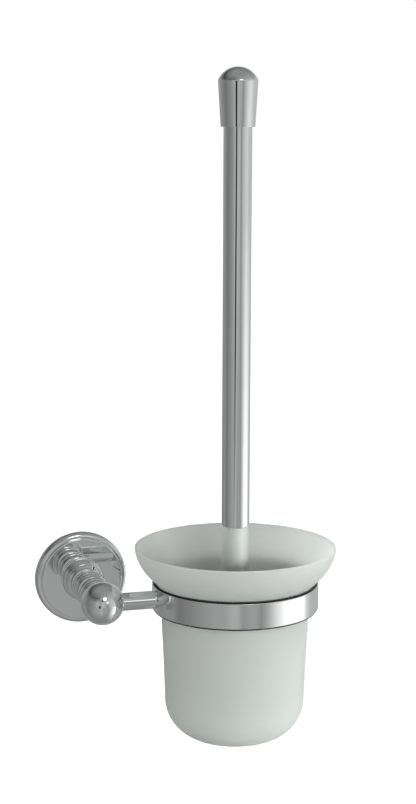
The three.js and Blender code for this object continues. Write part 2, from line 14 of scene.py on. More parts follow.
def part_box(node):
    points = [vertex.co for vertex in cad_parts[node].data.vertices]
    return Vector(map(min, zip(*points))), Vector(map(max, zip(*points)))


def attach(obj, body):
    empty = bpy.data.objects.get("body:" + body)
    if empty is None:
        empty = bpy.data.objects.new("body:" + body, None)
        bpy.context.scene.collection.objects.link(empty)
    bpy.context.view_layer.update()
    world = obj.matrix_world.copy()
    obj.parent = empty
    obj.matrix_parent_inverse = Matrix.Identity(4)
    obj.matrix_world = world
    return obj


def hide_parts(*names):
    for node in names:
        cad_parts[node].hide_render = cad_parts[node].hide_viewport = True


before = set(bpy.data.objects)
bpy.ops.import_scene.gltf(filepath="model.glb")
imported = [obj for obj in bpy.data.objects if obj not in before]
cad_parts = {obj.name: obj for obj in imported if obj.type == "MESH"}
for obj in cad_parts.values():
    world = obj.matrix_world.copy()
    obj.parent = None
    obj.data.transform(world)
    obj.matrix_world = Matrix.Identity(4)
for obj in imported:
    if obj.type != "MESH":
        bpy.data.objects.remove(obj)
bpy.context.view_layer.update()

MM = 0.001


def node_box(node):
    """Lowest and highest corner of a CAD node, in millimetres."""
    low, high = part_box(node)
    return low / MM, high / MM


# ---- Places and sizes read from the frame ----

rose_low, rose_high = node_box("rose")
foot_low, foot_high = node_box("post_foot")
stem_low, stem_high = node_box("post_stem")
ball_high = node_box("ball_end")[1]
arm_high = node_box("support_arm")[1]
ring_low, ring_high = node_box("holder_ring")
liner_low, liner_high = node_box("ring_liner")
bowl_low = node_box("glass_bowl")[0]
flare_high = node_box("glass_flare")[1]
tube_low, tube_high = node_box("handle_tube")
cap_low, cap_high = node_box("handle_cap")
core_low, core_high = node_box("brush_core")
end_low, end_high = node_box("end_tuft")

CUP_AXIS = Vector(((ring_low.x + ring_high.x) / 2, (ring_low.y + ring_high.y) / 2, 0.0))
POST_OUT = -CUP_AXIS.y
ROSE_RADIUS = rose_high.x
ROSE_THICKNESS = -rose_low.y
FOOT_START = -foot_high.y
FOOT_END = -foot_low.y
STEM_START = -stem_high.y
STEM_END = -stem_low.y
BALL_RADIUS = ball_high.z
ARM_RADIUS = arm_high.z
RING_RADIUS = (ring_high.x - ring_low.x) / 2
RING_HALF = ring_high.z
TUBE_RADIUS = (tube_high.x - tube_low.x) / 2
RIM_Z = flare_high.z
CUP_BOTTOM_Z = bowl_low.z

# ---- Sizes that the frame's boxes don't give ----

GAP = 0.3
CUP_WALL = 3.4
RIM_WALL = 1.8
NECK_DEPTH = 30.0
BOLT_HOLE = 2.8
STUD_HOLE = 4.3
FILAMENT_RADIUS = 0.24
TUFTS_A_ROW = 18
FILAMENTS_A_TUFT = 22
END_TUFT_FILAMENTS = 420
ROW_SEED = 100
END_SEED = 42


# ---- Mesh building ----


def fillet(outline, steps=4):
    """Rounds the corners of an outline of (radius, height, corner radius) points. The outline is closed unless it
    starts and ends on the axis."""
    points = [Vector(p[:2]) for p in outline]
    radii = [p[2] if len(p) > 2 else 0.0 for p in outline]
    count = len(points)
    made = []
    for i, corner in enumerate(points):
        before, after = points[i - 1], points[(i + 1) % count]
        back, on = before - corner, after - corner
        if radii[i] <= 0 or back.length < 1e-6 or on.length < 1e-6:
            made.append(corner)
            continue
        turn = back.angle(on)
        cut = min(radii[i] / math.tan(turn / 2), 0.48 * back.length, 0.48 * on.length)
        start, end = corner + back.normalized() * cut, corner + on.normalized() * cut
        for k in range(steps + 1):
            t = k / steps
            made.append((1 - t) ** 2 * start + 2 * t * (1 - t) * corner + t ** 2 * end)
    return [(p.x, p.y) for p in made]


def arc(centre, radius, start, end, steps):
    """Points on a circle's arc in the outline plane, with angles in degrees."""
    angles = [math.radians(start + (end - start) * k / steps) for k in range(steps + 1)]
    return [(centre[0] + radius * math.cos(a), centre[1] + radius * math.sin(a)) for a in angles]


def bezier(a, b, c, d, steps):
    """Points on a cubic curve, without its first point."""
    made = []
    for k in range(1, steps + 1):
        t = k / steps
        weights = ((1 - t) ** 3, 3 * t * (1 - t) ** 2, 3 * t * t * (1 - t), t ** 3)
        made.append(tuple(sum(w * p[i] for w, p in zip(weights, (a, b, c, d))) for i in (0, 1)))
    return made


def outline_area(outline):
    """Signed area, positive where the outline runs anticlockwise."""
    following = outline[1:] + outline[:1]
    return sum(a[0] * b[1] - b[0] * a[1] for a, b in zip(outline, following)) / 2


def outline_normals(outline, closed):
    """An outward direction at each outline point, in which the longer neighbour counts for more."""
    count = len(outline)
    sides = []
    for i in range(count):
        a, b = Vector(outline[i]), Vector(outline[(i + 1) % count])
        along = b - a
        sides.append((Vector((along.y, -along.x)), along.length))
    if not closed:
        sides[-1] = (Vector((0.0, 0.0)), 0.0)
    normals = []
    for i in range(count):
        (before, weight_before), (after, weight_after) = sides[i - 1], sides[i]
        normal = before * weight_before + after * weight_after
        normals.append(normal.normalized() if normal.length > 1e-9 else Vector((1.0, 0.0)))
    return normals


AXES = {
    "up": Matrix(((1, 0, 0), (0, 1, 0), (0, 0, 1))),
    "out": Matrix(((1, 0, 0), (0, 0, -1), (0, 1, 0))),
    "side": Matrix(((0, 0, 1), (0, 1, 0), (-1, 0, 0))),
}


def new_piece(name, vertices, faces, material, body, stands_for, normals=None):
    """A mesh object in metres that rides on a body and stands for CAD nodes."""
    mesh = bpy.data.meshes.new(name)
    mesh.from_pydata([Vector(v) * MM for v in vertices], [], faces)
    mesh.validate()
    mesh.polygons.foreach_set("use_smooth", [True] * len(mesh.polygons))
    if normals:
        mesh.normals_split_custom_set_from_vertices(normals)
    mesh.materials.append(material)
    piece = bpy.data.objects.new(name, mesh)
    bpy.context.scene.collection.objects.link(piece)
    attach(piece, body)
    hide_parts(*stands_for)
    return piece


def revolve(name, outline, origin, axis, segments, material, body, stands_for, shape=None):
    """Spins an outline of (radius, height) points round an axis. shape(position) may move each vertex."""
    closed = not (outline[0][0] == 0 and outline[-1][0] == 0)
    if outline_area(outline) < 0:
        outline = outline[::-1]
    directions = outline_normals(outline, closed)
    turn = AXES[axis]
    origin = Vector(origin)
    vertices, normals, rings = [], [], []
    for (radius, height), direction in zip(outline, directions):
        ring = []
        for k in range(1 if radius == 0 else segments):
            angle = 2 * math.pi * k / segments
            c, s = math.cos(angle), math.sin(angle)
            ring.append(len(vertices))
            vertices.append(origin + turn @ Vector((radius * c, radius * s, height)))
            if radius == 0:
                normals.append(turn @ Vector((0, 0, 1 if direction.y > 0 else -1)))
            else:
                normals.append(turn @ Vector((direction.x * c, direction.x * s, direction.y)))
        rings.append(ring)
    faces = []
    pairs = zip(rings, rings[1:] + rings[:1]) if closed else zip(rings, rings[1:])
    for low, high in pairs:
        if len(low) == 1 and len(high) == 1:
            continue
        for k in range(segments):
            n = (k + 1) % segments
            if len(low) == 1:
                faces.append((low[0], high[n], high[k]))
            elif len(high) == 1:
                faces.append((low[k], low[n], high[0]))
            else:
                faces.append((low[k], low[n], high[n], high[k]))
    if shape:
        vertices = [shape(v) for v in vertices]
    return new_piece(name, vertices, faces, material, body, stands_for, normals)


# ---- Materials ----


class Nodes:
    """A short way to write a node tree."""

    def __init__(self, owner):
        owner.use_nodes = True
        self.owner = owner
        self.tree = owner.node_tree
        self.tree.nodes.clear()

    def add(self, kind, settings=None, **inputs):
        """A new node; an input's name has _ for each space."""
        node = self.tree.nodes.new(kind)
        for key, value in (settings or {}).items():
            setattr(node, key, value)
        for key, value in inputs.items():
            self.put(node, key.replace("_", " "), value)
        return node

    def put(self, node, socket, value):
        """Links a socket to an input, or sets a constant on it."""
        target = node.inputs[socket]
        if isinstance(value, bpy.types.NodeSocket):
            self.tree.links.new(value, target)
        else:
            target.default_value = value

    def place(self):
        """Position on the piece, in metres of the shared frame."""
        return self.add("ShaderNodeTexCoord").outputs["Object"]

    def noise(self, scale, detail=3.0, roughness=0.5):
        """Noise over the piece's own position, about 0..1."""
        node = self.add("ShaderNodeTexNoise", Scale=scale, Detail=detail, Roughness=roughness)
        self.tree.links.new(self.place(), node.inputs["Vector"])
        return node.outputs["Fac"]

    def span(self, value, low, high, start=0.0, end=1.0):
        """Maps start..end of a value to low..high, without going past either."""
        node = self.add("ShaderNodeMapRange")
        self.tree.links.new(value, node.inputs["Value"])
        for socket, number in (("From Min", start), ("From Max", end), ("To Min", low), ("To Max", high)):
            node.inputs[socket].default_value = number
        return node.outputs["Result"]

    def blend(self, factor, a, b):
        """A mix of two colours by a factor."""
        node = self.add("ShaderNodeMix", {"data_type": "RGBA"})
        self.tree.links.new(factor, node.inputs["Factor"])
        for index, colour in ((6, a), (7, b)):
            if isinstance(colour, bpy.types.NodeSocket):
                self.tree.links.new(colour, node.inputs[index])
            else:
                node.inputs[index].default_value = (*colour, 1.0)
        return node.outputs[2]

    def bump(self, height, strength, distance):
        """A normal that follows a height; distance is in metres."""
        node = self.add("ShaderNodeBump", Strength=strength, Distance=distance)
        self.tree.links.new(height, node.inputs["Height"])
        return node.outputs["Normal"]

    def mix(self, share, first, second):
        """Two shaders, the second by its share."""
        node = self.add("ShaderNodeMixShader")
        node.inputs[0].default_value = share
        self.tree.links.new(first.outputs[0], node.inputs[1])
        self.tree.links.new(second.outputs[0], node.inputs[2])
        return node

    def finish(self, shader):
        """Shows the shader and returns the material."""
        output = self.add("ShaderNodeOutputMaterial")
        self.tree.links.new(shader.outputs[0], output.inputs["Surface"])
        return self.owner


def material_nodes(name):
    """The empty node tree of a new material."""
    return Nodes(bpy.data.materials.new(name))


def make_chrome():
    """Bright plated chrome with a faint haze of water marks and fine wiping scratches."""
    n = material_nodes("mirror_chrome")
    marks = n.noise(45.0, detail=4.0, roughness=0.6)
    wipe = n.noise(900.0, detail=2.0)
    rough = n.add("ShaderNodeMath", {"operation": "ADD"})
    n.put(rough, 0, n.span(marks, 0.008, 0.03, 0.35, 0.75))
    n.put(rough, 1, n.span(wipe, 0.0, 0.01, 0.4, 0.8))
    tint = n.blend(n.span(marks, 0.0, 1.0, 0.3, 0.7), (0.825, 0.84, 0.835), (0.865, 0.878, 0.872))
    shader = n.add("ShaderNodeBsdfPrincipled", Metallic=1.0)
    n.put(shader, "Base Color", tint)
    n.put(shader, "Roughness", rough.outputs[0])
    n.put(shader, "Normal", n.bump(n.noise(40.0, detail=1.0), 0.012, 0.0003))
    return n.finish(shader)


def make_zinc():
    """Blue-white zinc plate, dull and a little mottled."""
    n = material_nodes("zinc_plate")
    patches = n.noise(220.0, detail=5.0, roughness=0.65)
    shader = n.add("ShaderNodeBsdfPrincipled", Metallic=1.0)
    n.put(shader, "Base Color", n.blend(patches, (0.5, 0.53, 0.57), (0.72, 0.72, 0.7)))
    n.put(shader, "Roughness", n.span(patches, 0.24, 0.5, 0.3, 0.7))
    n.put(shader, "Normal", n.bump(n.noise(1400.0, detail=3.0), 0.15, 0.0001))
    return n.finish(shader)


def make_black_steel():
    """Black oxide on a hard screw, worn brown where it is thin."""
    n = material_nodes("black_oxide")
    wear = n.noise(700.0, detail=4.0)
    shader = n.add("ShaderNodeBsdfPrincipled", Metallic=0.8)
    worn = n.span(wear, 0.0, 1.0, 0.45, 0.75)
    n.put(shader, "Base Color", n.blend(worn, (0.03, 0.03, 0.035), (0.1, 0.085, 0.07)))
    n.put(shader, "Roughness", n.span(wear, 0.35, 0.55))
    return n.finish(shader)


def make_rubber():
    """Black rubber, fine-grained and a little dusty."""
    n = material_nodes("liner_rubber")
    grain = n.noise(1600.0, detail=4.0, roughness=0.7)
    dust = n.noise(120.0, detail=3.0)
    shader = n.add("ShaderNodeBsdfPrincipled")
    n.put(shader, "Base Color", n.blend(dust, (0.012, 0.012, 0.013), (0.035, 0.035, 0.034)))
    n.put(shader, "Roughness", n.span(grain, 0.6, 0.9))
    n.put(shader, "Normal", n.bump(grain, 0.3, 0.0002))
    return n.finish(shader)


def make_satin_glass():
    """Acid-etched glass: light spreads through it, and its face has a soft, fine-grained sheen."""
    n = material_nodes("satin_glass")
    grain = n.noise(2600.0, detail=3.0, roughness=0.6)
    cloud = n.noise(28.0, detail=3.0)
    normal = n.bump(grain, 0.06, 0.0001)
    face = n.add("ShaderNodeBsdfPrincipled", IOR=1.5)
    clouded = n.span(cloud, 0.0, 1.0, 0.3, 0.7)
    n.put(face, "Base Color", n.blend(clouded, (0.84, 0.87, 0.845), (0.88, 0.9, 0.885)))
    n.put(face, "Roughness", n.span(grain, 0.5, 0.66, 0.3, 0.7))
    n.put(face, "Normal", normal)
    through = n.add("ShaderNodeBsdfTranslucent")
    n.put(through, "Color", n.blend(cloud, (0.93, 0.96, 0.94), (0.95, 0.97, 0.955)))
    n.put(through, "Normal", normal)
    return n.finish(n.mix(0.72, face, through))


def make_moulding(name, colour, shade):
    """Moulded plastic with a faint flow grain."""
    n = material_nodes(name)
    flow = n.noise(160.0, detail=3.0)
    fine = n.noise(2200.0, detail=2.0)
    shader = n.add("ShaderNodeBsdfPrincipled", IOR=1.5)
    n.put(shader, "Base Color", n.blend(flow, colour, shade))
    n.put(shader, "Roughness", n.span(flow, 0.32, 0.5))
    n.put(shader, "Normal", n.bump(fine, 0.06, 0.0001))
    return n.finish(shader)


def make_bristle():
    """White nylon filament, a little uneven in colour, that lets some light through."""
    n = material_nodes("nylon_bristle")
    streak = n.noise(380.0, detail=2.0)
    shader = n.add("ShaderNodeBsdfPrincipled", IOR=1.53)
    n.put(shader, "Base Color", n.blend(streak, (0.8, 0.81, 0.8), (0.92, 0.93, 0.92)))
    n.put(shader, "Roughness", n.span(streak, 0.3, 0.5))
    through = n.add("ShaderNodeBsdfTranslucent", Color=(0.85, 0.87, 0.86, 1.0))
    return n.finish(n.mix(0.3, shader, through))


chrome = make_chrome()
zinc = make_zinc()
black_steel = make_black_steel()
rubber = make_rubber()
satin_glass = make_satin_glass()
bush_nylon = make_moulding("bush_nylon", (0.8, 0.81, 0.8), (0.7, 0.72, 0.71))
core_plastic = make_moulding("core_plastic", (0.86, 0.87, 0.87), (0.8, 0.81, 0.81))
bristle_nylon = make_bristle()


# ---- Wall side ----


def make_rose():
    """The round stepped cover, hollow behind, with a flat mirror face."""
    face = ROSE_THICKNESS
    rim_inside = ROSE_RADIUS - 2.6
    bore, hollow = 6.3, 3.7
    outline = [(ROSE_RADIUS - 0.15, 0.0), (ROSE_RADIUS, 0.15), (ROSE_RADIUS, 1.1)]
    outline += bezier((ROSE_RADIUS, 1.1), (ROSE_RADIUS, 3.2), (28.2, 4.55), (26.35, 4.6), 14)
    outline += [(26.05, 4.6), (25.9, 4.66), (25.84, 4.8)]
    outline += [(25.78, face - 0.75)]
    outline += bezier((25.78, face - 0.75), (25.74, face - 0.2), (25.4, face), (24.7, face), 8)
    outline += [(bore + 0.1, face), (bore, face - 0.1), (bore, hollow)]
    outline += [(ROSE_RADIUS - 5.65, hollow), (rim_inside, 1.6), (rim_inside, 0.0)]
    return revolve("rose_cover", outline, (0, 0, 0), "out", 160, chrome, "wall_holder", ["rose"])


def make_post_foot():
    """The bell: a rounded flange, a waist, a bead and a short neck, bored to slide over the plate's boss."""
    start, end = FOOT_START, FOOT_END
    bore, web, flange, waist, bead, neck = 6.3, 1.6, 13.3, 10.4, 11.1, 9.9
    outline = [(bore, start), (12.9, start)]
    outline += bezier((12.9, start), (13.2, start), (flange, start + 0.2), (flange, start + 0.5), 5)
    outline += [(flange, start + 1.6)]
    outline += bezier((flange, start + 1.6), (13.0, start + 3.6), (waist, start + 3.4), (waist, start + 6.4), 12)
    outline += bezier((waist, start + 6.4), (10.45, start + 6.8), (10.8, start + 6.8), (bead, start + 7.0), 3)
    outline += bezier((bead, start + 7.0), (11.75, start + 7.6), (11.75, start + 9.2), (bead, start + 9.8), 10)
    outline += fillet([(neck, start + 10.6, 0.3), (neck, end, 0.25), (BOLT_HOLE, end)], 3)[0:10]
    outline += [(BOLT_HOLE, end - web), (bore, end - web)]
    return revolve(
        "post_bell_foot", outline, (0, 0, 0), "out", 112, chrome, "wall_holder", ["post_foot"]
    )


def make_post_stem():
    """The turned stem with its four beads."""
    radius, height, half_width = 9.3, 1.1, 1.9
    bead_centres = (28.2, 33.4, 43.2, 48.4)
    start, end = STEM_START, STEM_END
    outline = [(BOLT_HOLE, start), (radius - 0.2, start), (radius, start + 0.2)]
    crest = radius + height * 4 / 3
    for out in bead_centres:
        low, high = out - half_width, out + half_width
        outline += [(radius, low)]
        outline += bezier((radius, low), (crest, low), (crest, high), (radius, high), 10)
    outline += [(radius, end - 0.2), (radius - 0.2, end), (BOLT_HOLE, end)]
    return revolve(
        "post_turned_stem", outline, (0, 0, 0), "out", 112, chrome, "wall_holder", ["post_stem"]
    )


def make_ball():
    """The ball, spun about the arm's axis, with the counterbore that takes the arm."""
    seat = 11.0
    bore = ARM_RADIUS + 0.12
    spigot_bore, spigot_end = 4.3, 4.0
    mouth = math.sqrt(BALL_RADIUS ** 2 - bore ** 2)
    edge = math.degrees(math.atan2(mouth, bore))
    outline = arc((0, 0), BALL_RADIUS, -90, edge - 1.0, 56)
    outline[0] = (0, -BALL_RADIUS)
    outline += [(bore + 0.08, mouth - 0.02), (bore, mouth - 0.12), (bore, seat)]
    outline += [(spigot_bore, seat), (spigot_bore, spigot_end), (0, spigot_end)]
    return revolve(
        "ball_joint", outline, (0, -POST_OUT, 0), "side", 112, chrome, "wall_holder", ["ball_end"]
    )


def make_arm():
    """The arm, with its far end hollowed to sit against the round of the ring."""
    seat = 11.3
    end = CUP_AXIS.x - RING_RADIUS
    spigot = 4.0
    outline = [(0, seat - 6.7), (spigot - 0.3, seat - 6.7), (spigot, seat - 6.4), (spigot, seat)]
    outline += [(ARM_RADIUS - 0.1, seat), (ARM_RADIUS, seat + 0.1)]
    outline += [(ARM_RADIUS, seat + (end - seat) * k / 8) for k in range(1, 8)]
    outline += [(ARM_RADIUS, end), (ARM_RADIUS - 0.15, end + 0.05), (0, end + 0.05)]

    def against_ring(v):
        """Moves the far end's points onto the ring's outer face."""
        if v.x < end - 0.01:
            return v
        side = v.y + POST_OUT
        reach = math.sqrt((RING_RADIUS + 0.05) ** 2 - side ** 2)
        return Vector((CUP_AXIS.x - reach, v.y, v.z))

    return revolve(
        "side_arm", outline, (0, -POST_OUT, 0), "side", 96, chrome, "wall_holder", ["support_arm"],
        shape=against_ring,
    )


def make_ring():
    """The plain band, with its edges eased."""
    inner = RING_RADIUS - 2.2
    outline = fillet(
        [
            (inner, -RING_HALF, 0.2),
            (RING_RADIUS, -RING_HALF, 0.4),
            (RING_RADIUS, RING_HALF, 0.45),
            (inner, RING_HALF, 0.2),
        ],
        5,
    )
    return revolve(
        "holder_band", outline, CUP_AXIS, "up", 224, chrome, "wall_holder", ["holder_ring"]
    )


def make_liner():
    """A soft channel whose lips fold out over and under the ring."""
    lip = (liner_high.x - liner_low.x) / 2
    inside = 45.75
    back = RING_RADIUS - 2.5
    edge = RING_HALF + GAP
    outline = fillet(
        [
            (inside, liner_low.z, 0.2),
            (lip, liner_low.z, 0.3),
            (lip, -edge, 0.2),
            (back, -edge, 0.2),
            (back, edge, 0.2),
            (lip, edge, 0.2),
            (lip, liner_high.z, 0.15),
            (49.1, edge - 0.2, 1.0),
            (47.25, edge - 2.7, 1.0),
            (46.05, edge - 5.4, 1.0),
            (inside, edge - 7.5, 1.0),
        ],
        3,
    )
    return revolve(
        "soft_liner", outline, CUP_AXIS, "up", 160, rubber, "wall_holder", ["ring_liner"]
    )


# ---- Glass cup ----


def cup_outside():
    """The outside of the glass from the middle of the bottom up to the rim."""
    corner, neck, rim = 24.0, 45.15, 61.5
    flat = 42.9 - corner
    bottom = CUP_BOTTOM_Z

    def down(depth):
        return RIM_Z - depth

    outline = [(0, bottom), (flat * 0.5, bottom), (flat * 0.9, bottom)]
    outline += arc((flat, bottom + corner), corner, -90, 0, 28)
    outline += [(43.8, down(72)), (44.8, down(51)), (45.0, down(40)), (neck, down(NECK_DEPTH))]
    outline += bezier((neck, down(NECK_DEPTH)), (neck, down(25.5)), (47.8, down(22.4)), (51, down(19.3)), 14)
    outline += bezier((51, down(19.3)), (55.2, down(15.4)), (60.2, down(10)), (rim, down(RIM_WALL / 2)), 24)
    return outline


def cup_wall(height):
    """The glass thins out from the neck to the rim."""
    up_flare = (height - (RIM_Z - NECK_DEPTH)) / NECK_DEPTH
    return CUP_WALL + (RIM_WALL - CUP_WALL) * min(max(up_flare, 0.0), 1.0)


def cup_inside(outside):
    """The outside moved in by the wall, square to the surface."""
    made = []
    for i, (radius, height) in enumerate(outside):
        before, after = outside[max(i - 1, 0)], outside[min(i + 1, len(outside) - 1)]
        along = Vector((after[0] - before[0], after[1] - before[1])).normalized()
        wall = cup_wall(height)
        moved = (radius - along.y * wall, height + along.x * wall)
        made.append((0, moved[1]) if radius == 0 else moved)
    return made


def make_cup():
    """The satin glass cup in one piece, with a rounded lip."""
    outside = cup_outside()
    inside = cup_inside(outside)
    outer, inner = Vector(outside[-1]), Vector(inside[-1])
    middle = (outer + inner) / 2
    tilt = math.degrees(math.atan2(outer.y - middle.y, outer.x - middle.x))
    lip = arc(middle, (outer - inner).length / 2, tilt, tilt + 180, 12)[1:-1]
    outline = outside + lip + inside[::-1]
    stands_for = ["glass_bowl", "glass_flare"]
    return revolve("satin_cup", outline, CUP_AXIS, "up", 224, satin_glass, "cup", stands_for)


# ---- Brush ----


def make_tube():
    """The handle's tube, open at both ends."""
    inner = TUBE_RADIUS - 0.9
    outline = fillet(
        [
            (inner, tube_low.z, 0.1),
            (TUBE_RADIUS, tube_low.z, 0.2),
            (TUBE_RADIUS, tube_high.z, 0.1),
            (inner, tube_high.z, 0.1),
        ],
        2,
    )
    return revolve("chrome_tube", outline, CUP_AXIS, "up", 128, chrome, "brush", ["handle_tube"])


def make_cap():
    """The slightly conical cap with its domed top, bored for the tube and its stud."""
    bottom, top = cap_low.z, cap_high.z
    shoulder = top - 7.9
    shoulder_radius = 11.85
    rise = top - shoulder
    dome = (shoulder_radius ** 2 + rise ** 2) / (2 * rise)
    start = math.degrees(math.acos(shoulder_radius / dome))
    socket = 8.8
    outline = [(0, bottom + 20), (STUD_HOLE, bottom + 20), (STUD_HOLE, bottom + 8)]
    outline += [(socket, bottom + 8), (socket, bottom + 0.2)]
    outline += [(9.0, bottom), (10.05, bottom), (10.25, bottom + 0.25)]
    outline += [(shoulder_radius - 0.03, shoulder - 0.45), (shoulder_radius, shoulder - 0.15)]
    outline += arc((0, top - dome), dome, start + 1.5, 90, 28)
    outline[-1] = (0, top)
    return revolve("domed_cap", outline, CUP_AXIS, "up", 128, chrome, "brush", ["handle_cap"])


def make_core():
    """The moulded stem, with a thicker collar at the top and a rounded lower end."""
    top, bottom = core_high.z, core_low.z
    collar, stem = 8.5, 7.5
    outline = [(0, top - 18), (STUD_HOLE, top - 18), (STUD_HOLE, top), (collar - 0.2, top), (collar, top - 0.2)]
    outline += [(collar, top - 4), (stem, top - 6), (stem, bottom + 3)]
    outline += bezier((stem, bottom + 3), (stem, bottom + 1), (6.5, bottom), (4.5, bottom), 8)
    outline += [(0, bottom)]
    nodes = ["brush_core"]
    return revolve("brush_stem", outline, CUP_AXIS, "up", 64, core_plastic, "brush", nodes)


def add_bristle(vertices, faces, root, tip, bend, radius):
    """One filament from root to tip, bowed by bend, as a thin tapered rod of five sides."""
    sides, steps = 5, 4
    along = (tip - root).normalized()
    across = along.orthogonal().normalized()
    other = along.cross(across)
    first = len(vertices)
    for k in range(steps + 1):
        t = k / steps
        centre = root.lerp(tip, t) + bend * (4 * t * (1 - t))
        size = radius * (1 - 0.25 * t)
        for j in range(sides):
            angle = 2 * math.pi * j / sides
            vertices.append(centre + (across * math.cos(angle) + other * math.sin(angle)) * size)
    for k in range(steps):
        for j in range(sides):
            a = first + k * sides + j
            b = first + k * sides + (j + 1) % sides
            faces.append((a, b, b + sides, a + sides))
    faces.append(tuple(first + j for j in reversed(range(sides))))
    faces.append(tuple(first + steps * sides + j for j in range(sides)))


def make_bristle_row(row):
    """A ring of tufts that fan out from their holes in the stem."""
    node = f"bristle_row_{row}"
    low, high = node_box(node)
    middle = (low.z + high.z) / 2
    reach = (high.x - low.x) / 2
    spread = (high.z - low.z) / 2 - FILAMENT_RADIUS
    root_radius, overlap = 6.6, 1.15
    random.seed(ROW_SEED + row)
    vertices, faces = [], []
    for tuft in range(TUFTS_A_ROW):
        facing = 2 * math.pi * (tuft + 0.5 * (row % 2)) / TUFTS_A_ROW
        for _ in range(FILAMENTS_A_TUFT):
            angle, size = random.uniform(0, 2 * math.pi), math.sqrt(random.random())
            fan_side, fan_up = math.cos(angle) * size, math.sin(angle) * size
            away = facing + fan_side * 0.5 * 2 * math.pi / TUFTS_A_ROW * overlap
            root_angle = facing + fan_side * 0.11
            root = Vector((
                math.cos(root_angle) * root_radius, math.sin(root_angle) * root_radius, middle + fan_up
            ))
            length = reach - random.uniform(0.3, 1.6)
            tip = Vector((math.cos(away) * length, math.sin(away) * length, middle + fan_up * spread))
            bend = Vector((
                random.uniform(-0.5, 0.5), random.uniform(-0.5, 0.5), random.uniform(-0.4, 0.4)
            ))
            add_bristle(vertices, faces, root + CUP_AXIS, tip + CUP_AXIS, bend, FILAMENT_RADIUS)
    return new_piece(f"tuft_row_{row}", vertices, faces, bristle_nylon, "brush", [node])


def make_end_tuft():
    """Filaments that splay out under the stem and sweep the bottom of the cup."""
    top = end_high.z
    bottom = end_low.z + FILAMENT_RADIUS
    reach = (end_high.x - end_low.x) / 2
    root_radius = 4.2
    rise = 4.2
    random.seed(END_SEED)
    vertices, faces = [], []
    for _ in range(END_TUFT_FILAMENTS):
        angle = random.uniform(0, 2 * math.pi)
        size = math.sqrt(random.random())
        root = Vector((math.cos(angle) * size * root_radius, math.sin(angle) * size * root_radius, top))
        radius = size * (reach - 0.6)
        droop = bottom + rise * size ** 3 + random.uniform(0, 0.5)
        tip = Vector((math.cos(angle) * radius, math.sin(angle) * radius, droop))
        bend = Vector((math.cos(angle), math.sin(angle), 0)) * random.uniform(0.0, 0.8) * size
        bend.z = random.uniform(0.0, 0.5) * size
        add_bristle(vertices, faces, root + CUP_AXIS, tip + CUP_AXIS, bend, FILAMENT_RADIUS)
    return new_piece("bottom_tuft", vertices, faces, bristle_nylon, "brush", ["end_tuft"])


def finish_cad_nodes():
    """Gives each CAD node that stays on show its finish."""
    finishes = {
        "wall_plate": zinc,
        "foot_grub_screw": black_steel,
        "tie_bolt": zinc,
        "tie_bolt_washer": zinc,
        "arm_grub_screw": black_steel,
        "ring_screw": zinc,
        "cap_stud": zinc,
        "upper_bush": bush_nylon,
        "lower_bush": bush_nylon,
        "head_stud": zinc,
    }
    for node, material in finishes.items():
        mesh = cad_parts[node].data
        mesh.materials.clear()
        mesh.materials.append(material)


make_rose()
make_post_foot()
make_post_stem()
make_ball()
make_arm()
make_ring()
make_liner()
make_cup()
make_tube()
make_cap()
make_core()
for row_number in range(1, 7):
    make_bristle_row(row_number)
make_end_tuft()
finish_cad_nodes()


# ---- Studio ----


def make_floor():
    """A wide pale floor well below the holder, which hangs on a wall."""
    size, drop = 12.0, -0.62
    mesh = bpy.data.meshes.new("studio_floor")
    corners = [(-size, -size, drop), (size, -size, drop), (size, size, drop), (-size, size, drop)]
    mesh.from_pydata(corners, [], [(0, 1, 2, 3)])
    floor = bpy.data.objects.new("studio_floor", mesh)
    bpy.context.scene.collection.objects.link(floor)
    n = material_nodes("pale_floor")
    shader = n.add("ShaderNodeBsdfPrincipled", Roughness=0.9)
    shader.inputs["Base Color"].default_value = (0.9, 0.9, 0.9, 1.0)
    shader.inputs["Emission Color"].default_value = (1.0, 1.0, 1.0, 1.0)
    shader.inputs["Emission Strength"].default_value = 0.9
    mesh.materials.append(n.finish(shader))
    floor.visible_glossy = False
    floor.visible_diffuse = False
    floor.visible_transmission = False


def multiply(n, a, b):
    """The product of a value and a value or a constant."""
    node = n.add("ShaderNodeMath", {"operation": "MULTIPLY"})
    n.put(node, 0, a)
    n.put(node, 1, b)
    return node.outputs[0]


def compass_turn(n, parts):
    """The compass direction as 0..1, with straight out from the wall at a half."""
    compass = n.add("ShaderNodeMath", {"operation": "ARCTAN2"})
    n.put(compass, 0, parts.outputs["X"])
    n.put(compass, 1, multiply(n, parts.outputs["Y"], -1.0))
    return n.span(compass.outputs[0], 0.0, 1.0, -math.pi, math.pi)


def ramp(n, turn, stops):
    """Brightness round the compass. Stops are (degrees to the right of straight out from the wall, brightness)."""
    node = n.add("ShaderNodeValToRGB")
    elements = node.color_ramp.elements
    elements.remove(elements[-1])
    for i, (degrees, grey) in enumerate(stops):
        place = degrees / 360 + 0.5
        element = elements[0] if i == 0 else elements.new(place)
        element.position = place
        element.color = (grey, grey, grey, 1.0)
    n.put(node, "Fac", turn)
    return node.outputs["Color"]


def spot(n, direction, below, compass_degrees, rise_degrees, core, edge, brightness):
    """A round soft spot in the sky; core and edge are its radii in degrees."""
    compass, rise = math.radians(compass_degrees), math.radians(rise_degrees)
    towards = n.add("ShaderNodeVectorMath", {"operation": "DOT_PRODUCT"})
    n.put(towards, 0, direction)
    towards.inputs[1].default_value = (
        math.sin(compass) * math.cos(rise), -math.cos(compass) * math.cos(rise), math.sin(rise)
    )
    at_edge, at_core = math.cos(math.radians(edge)), math.cos(math.radians(core))
    inside = n.span(towards.outputs["Value"], 0.0, 1.0, at_edge, at_core)
    return n.blend(inside, below, (brightness, brightness, brightness))


